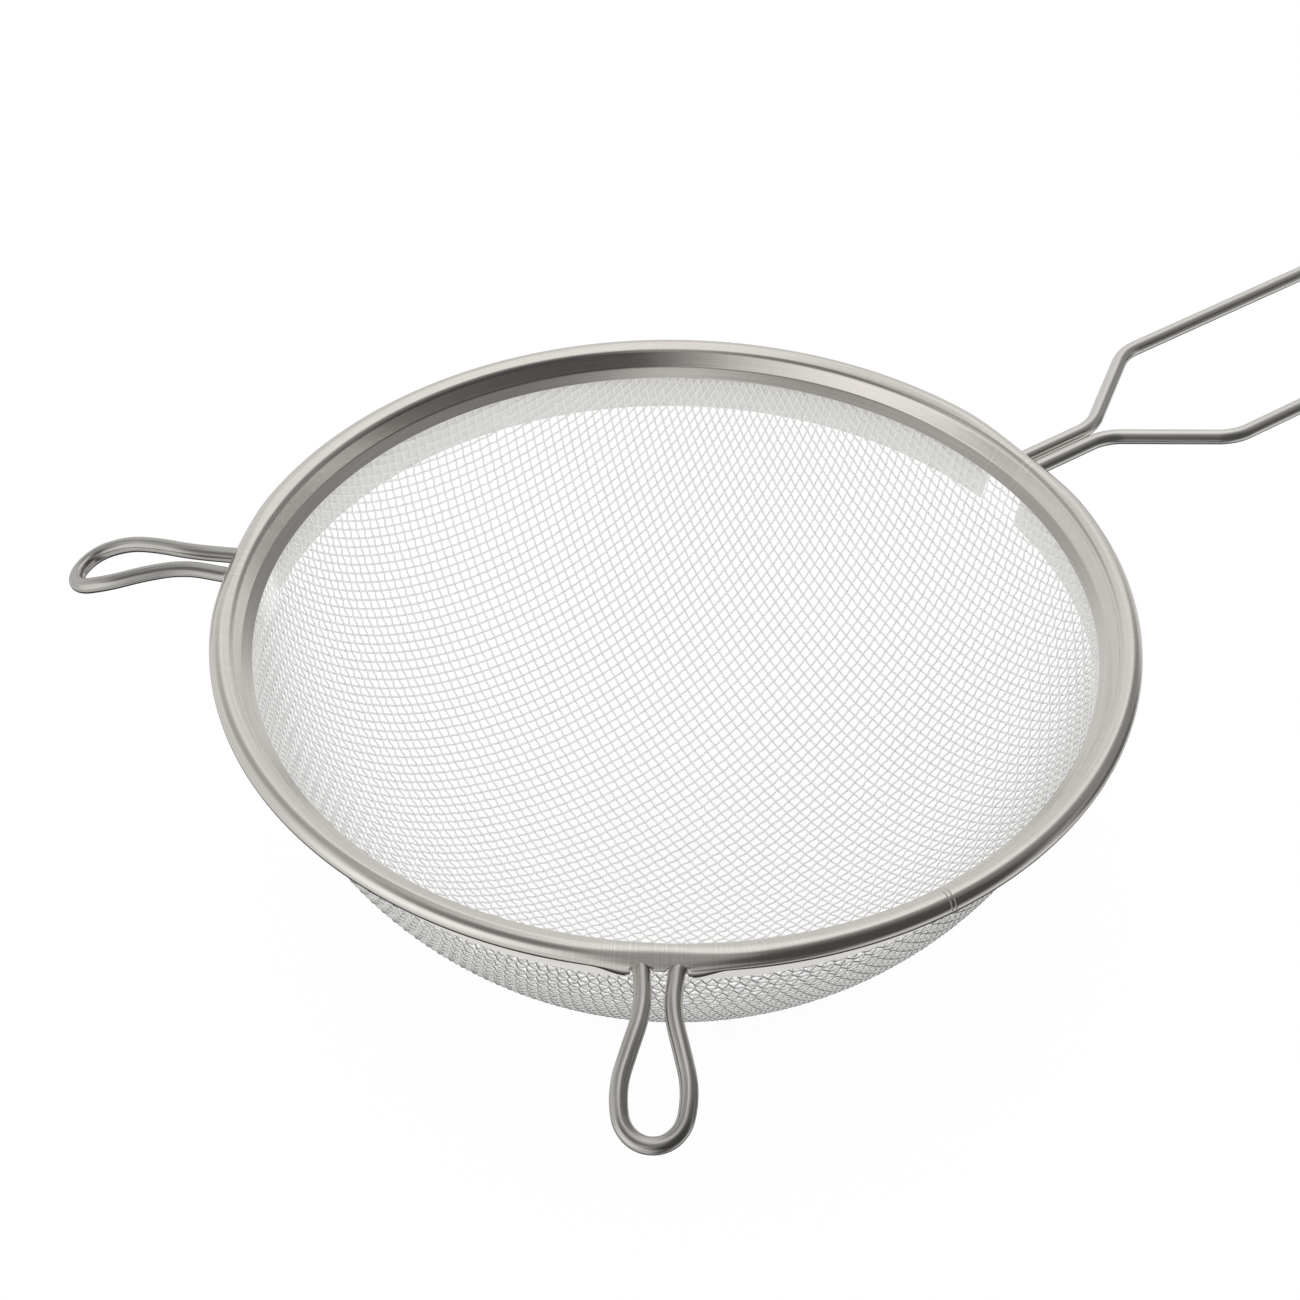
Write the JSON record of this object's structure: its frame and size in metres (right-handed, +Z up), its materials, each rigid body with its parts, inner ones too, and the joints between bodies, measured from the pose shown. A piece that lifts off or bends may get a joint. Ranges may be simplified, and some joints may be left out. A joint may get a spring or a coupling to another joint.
{
  "type": "mesh sieve",
  "caption": "Round kitchen sieve: deep wire-mesh bowl in a rolled sheet-steel rim, with a long wire handle and wire loops that rest on a pot.",
  "frame": {"origin": "lowest point of the mesh bowl, on the bowl's axis", "axes": "+X along the handle away from the bowl, +Z up out of the bowl's mouth"},
  "size_m": [0.3899, 0.2126, 0.084],
  "materials": {
    "satin_strip": "satin",
    "mesh_wire": "satin",
    "drawn_wire": "drawn"
  },
  "bodies": {
    "root": {"rim_band": "satin_strip", "mesh_bowl": "mesh_wire", "handle_wire": "drawn_wire", "rest_loop_right": "drawn_wire", "rest_loop_left": "drawn_wire", "rim_wire_right": "drawn_wire", "rim_wire_front": "drawn_wire", "rim_wire_left": "drawn_wire"}
  },
  "joints": []
}
